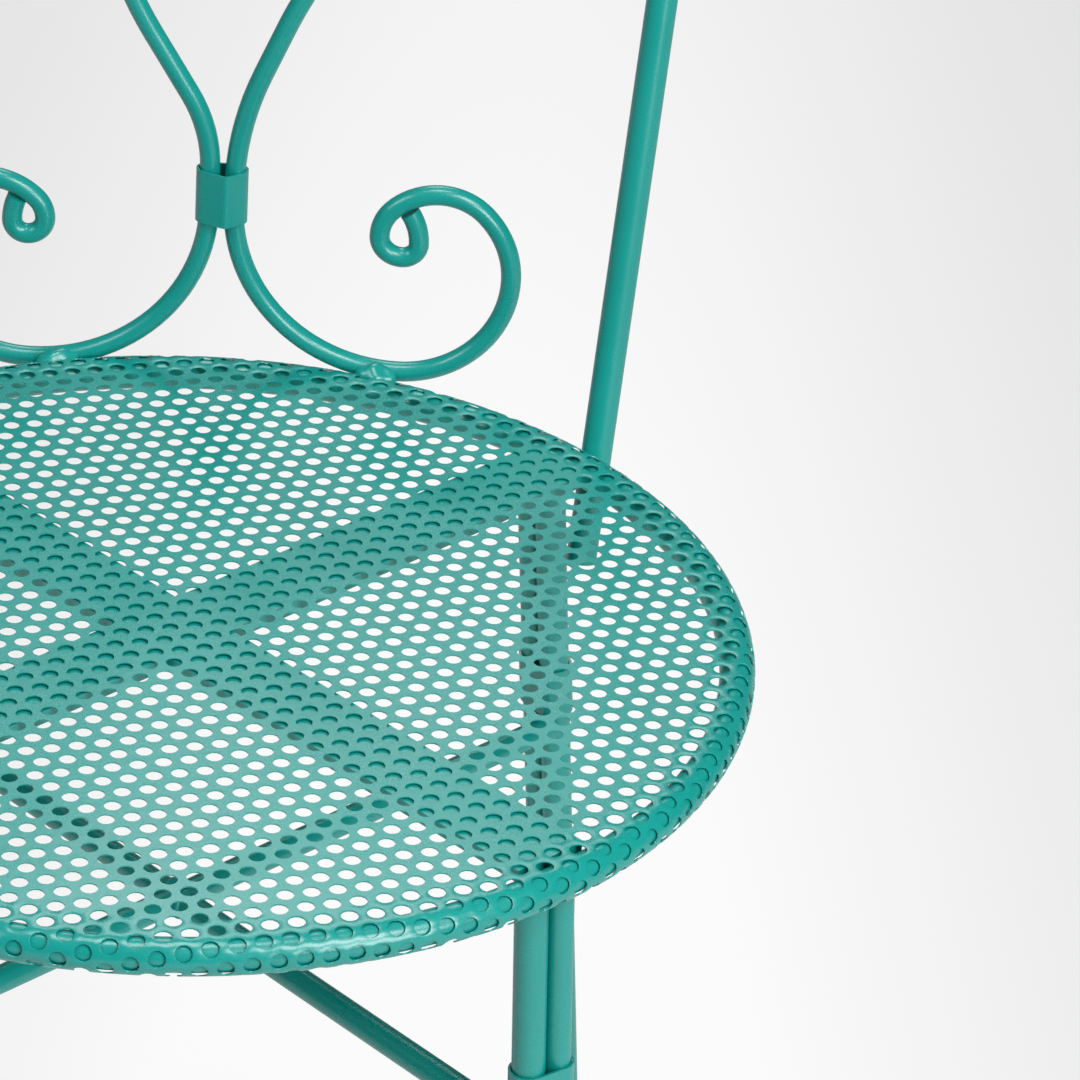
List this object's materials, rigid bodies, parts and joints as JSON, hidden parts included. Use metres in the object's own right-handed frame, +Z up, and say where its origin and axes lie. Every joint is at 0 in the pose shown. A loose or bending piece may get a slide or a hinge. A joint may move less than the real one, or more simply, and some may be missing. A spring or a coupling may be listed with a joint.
{
  "type": "stacking chair",
  "caption": "Welded steel stacking chair with a round perforated seat, a tall bent hoop back holding two scrolled rods, and four splayed tube-and-rod legs with crossed stretchers.",
  "frame": {"origin": "on the floor under the middle of the whole chair's box", "axes": "+Z up, -Y toward the front of the seat, +X to the right as seen from the front"},
  "size_m": [0.4184, 0.4576, 0.8843],
  "materials": {
    "teal_coat": "satin powder coat, teal green",
    "glide_plastic": "matt moulded black"
  },
  "bodies": {
    "root": {"seat_sheet": "teal_coat", "seat_ring": "teal_coat", "cross_bar_long": "teal_coat", "cross_bar_half_front": "teal_coat", "cross_bar_half_rear": "teal_coat", "stretcher_long": "teal_coat", "stretcher_half_front": "teal_coat", "stretcher_half_rear": "teal_coat", "back_hoop": "teal_coat", "scroll_left": "teal_coat", "scroll_right": "teal_coat", "back_collar": "teal_coat", "leg_tube_front_left": "teal_coat", "leg_rod_front_left": "teal_coat", "leg_collar_front_left": "teal_coat", "leg_tube_front_right": "teal_coat", "leg_rod_front_right": "teal_coat", "leg_collar_front_right": "teal_coat", "leg_tube_rear_left": "teal_coat", "leg_rod_rear_left": "teal_coat", "leg_collar_rear_left": "teal_coat", "leg_tube_rear_right": "teal_coat", "leg_rod_rear_right": "teal_coat", "leg_collar_rear_right": "teal_coat", "foot_glide_front_left": "glide_plastic", "foot_glide_front_right": "glide_plastic", "foot_glide_rear_left": "glide_plastic", "foot_glide_rear_right": "glide_plastic"}
  },
  "joints": []
}
